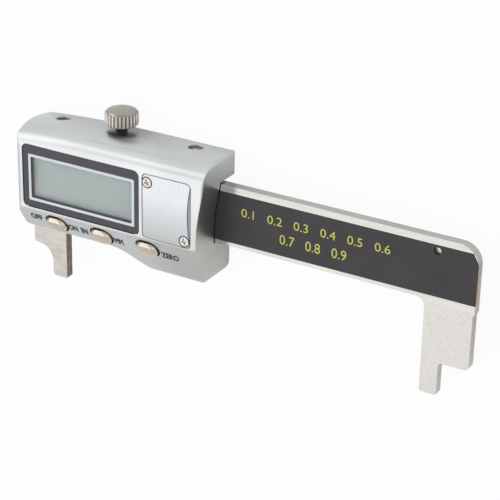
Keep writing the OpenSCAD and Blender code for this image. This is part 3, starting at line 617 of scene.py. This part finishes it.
def threads(name, x, z, start, turns, root_mm, crest_mm, material, body):
    """Helical ridge with a 0.5 mm pitch round an axis along Y, from a place in millimetres."""
    shape = bmesh.new()
    profile = [shape.verts.new(at(x + r, start + step, z))
               for r, step in ((root_mm, 0), (crest_mm, 0.2), (crest_mm, 0.3), (root_mm, 0.5))]
    edges = [shape.edges.new(pair) for pair in zip(profile, profile[1:] + profile[:1])]
    steps = round(32 * turns)
    bmesh.ops.spin(shape, geom=profile + edges, cent=at(x, start, z), axis=(0, 1, 0),
                   dvec=(0, 0.0005 * turns / steps, 0), angle=2 * math.pi * turns, steps=steps)
    bmesh.ops.holes_fill(shape, edges=[e for e in shape.edges if e.is_boundary], sides=4)
    bmesh.ops.recalc_face_normals(shape, faces=shape.faces)
    mesh = bpy.data.meshes.new(name)
    shape.to_mesh(mesh)
    shape.free()
    smooth(mesh)
    return add_piece(name, mesh, material, body)


threads("lock_screw_threads", 16.3, 5.35, 15.0, 2.3, 1.4, 1.52, knob_nickel, "lock_screw")

# The two holes above the set screws are tapped after plating: raw dark zinc with oil in the threads.
tapped_zinc, tree, shader = new_finish("tapped raw zinc", {"Metallic": 1.0})
oil = grain_of(tree, (0.4, 0.4, 0.4))
tree.links.new(tone(tree, oil, "#858487", "#a9a8ab"), shader.inputs["Base Color"])
tree.links.new(amount(tree, oil, 0.2, 0.35), shader.inputs["Roughness"])
relief(tree, shader, oil, 0.004)
set_low, set_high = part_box("gib_set_screws")
for number, (middle, start, top) in enumerate(((set_low.x + 0.00145, 12.45, 13.85),
                                               (set_high.x - 0.00145, 13.3, 14.7))):
    threads(f"tapped_hole_{number + 1}", (middle - at(0, 0, 0).x) * 1000, 5.35, start, 2.9, 1.93, 1.7,
            tapped_zinc, "head")

    # The set screw ends in a dome, which catches the light from above.
    shape = bmesh.new()
    bmesh.ops.create_uvsphere(shape, u_segments=40, v_segments=24, radius=0.0023)
    bmesh.ops.rotate(shape, cent=(0, 0, 0), matrix=Matrix.Rotation(math.radians(-90), 3, "X"),
                     verts=shape.verts)
    bmesh.ops.bisect_plane(shape, geom=shape.verts[:] + shape.edges[:] + shape.faces[:],
                           plane_co=(0, 0.00165, 0), plane_no=(0, 1, 0), clear_inner=True)
    skirt = bmesh.ops.extrude_edge_only(shape, edges=[e for e in shape.edges if e.is_boundary])["geom"]
    bmesh.ops.translate(shape, vec=(0, (12.6 + 0.65 - top) / 1000, 0),
                        verts=[g for g in skirt if isinstance(g, bmesh.types.BMVert)])
    bmesh.ops.holes_fill(shape, edges=[e for e in shape.edges if e.is_boundary], sides=0)
    bmesh.ops.recalc_face_normals(shape, faces=shape.faces)
    bmesh.ops.translate(shape, vec=(middle, at(0, top - 2.3, 0).y, at(0, 0, 5.35).z), verts=shape.verts)
    mesh = bpy.data.meshes.new(f"set_screw_end_{number + 1}")
    shape.to_mesh(mesh)
    shape.free()
    smooth(mesh)
    add_piece(f"set_screw_end_{number + 1}", mesh, nickel_steel, "head")

# ---------------------------------------------------------------- Floor and light
# A plain pale table, a large soft light above the display side, and a fainter one
# from the other side. The table looks white to the camera but keeps the soft shadow.
floor_mesh = bpy.data.meshes.new("floor")
shape = bmesh.new()
bmesh.ops.create_grid(shape, x_segments=1, y_segments=1, size=3.0)
shape.to_mesh(floor_mesh)
shape.free()
floor = bpy.data.objects.new("floor", floor_mesh)
bpy.context.scene.collection.objects.link(floor)
table_white, tree, shader = new_finish("pale table", {"Roughness": 1.0, "Base Color": linear("#f0f0f0"),
                                                      "Specular IOR Level": 0.0})
path = add_node(tree, "ShaderNodeLightPath", {})
glow = add_node(tree, "ShaderNodeEmission", {"Color": (1, 1, 1, 1), "Strength": 1.0})
sharpness = add_node(tree, "ShaderNodeMath", {
    0: path.outputs["Is Glossy Ray"], 1: path.outputs["Is Transmission Ray"]}, operation="MAXIMUM")
seen = add_node(tree, "ShaderNodeMath", {0: sharpness.outputs[0], 1: 0.2}, operation="MULTIPLY")
share = add_node(tree, "ShaderNodeMath", {
    0: path.outputs["Is Camera Ray"], 1: 0.93, 2: seen.outputs[0]}, operation="MULTIPLY_ADD")
mixed = add_node(tree, "ShaderNodeMixShader", {
    0: share.outputs[0], 1: shader.outputs["BSDF"], 2: glow.outputs["Emission"]})
tree.links.new(mixed.outputs["Shader"], tree.nodes["Material Output"].inputs["Surface"])
floor_mesh.materials.append(table_white)

world = bpy.data.worlds.new("studio")
bpy.context.scene.world = world
world.use_nodes = True
tree = world.node_tree
path = add_node(tree, "ShaderNodeLightPath", {})
plain = tree.nodes["Background"]
plain.inputs["Color"].default_value = (0.97, 0.985, 1, 1)
plain.inputs["Strength"].default_value = 0.75
white = add_node(tree, "ShaderNodeBackground", {"Color": (1, 1, 1, 1), "Strength": 1.0})
mixed = add_node(tree, "ShaderNodeMixShader", {
    0: path.outputs["Is Camera Ray"], 1: plain.outputs["Background"], 2: white.outputs["Background"]})
tree.links.new(mixed.outputs["Shader"], tree.nodes["World Output"].inputs["Surface"])


def add_softbox(name, towards, distance, width, depth, brightness):
    """Soft light of that width and depth, in that direction from the gauge, of that brightness on its face."""
    lamp = bpy.data.lights.new(name, "AREA")
    lamp.shape = "RECTANGLE"
    lamp.size, lamp.size_y = width, depth
    lamp.energy = brightness * math.pi * width * depth
    holder = bpy.data.objects.new(name, lamp)
    away = Vector(towards).normalized()
    holder.matrix_world = Matrix.Translation(away * distance) @ away.to_track_quat("Z", "Y").to_matrix().to_4x4()
    bpy.context.scene.collection.objects.link(holder)


add_softbox("key", (-0.48, -0.1, 0.85), 0.7, 0.98, 0.85, 0.66)
add_softbox("fill", (0.8, 0.2, 0.6), 0.8, 0.5, 0.5, 0.5)
add_softbox("back light", (-0.7, 0.75, 0.4), 0.8, 0.5, 0.4, 0.9)

scene = bpy.context.scene
scene.view_settings.view_transform = "Standard"
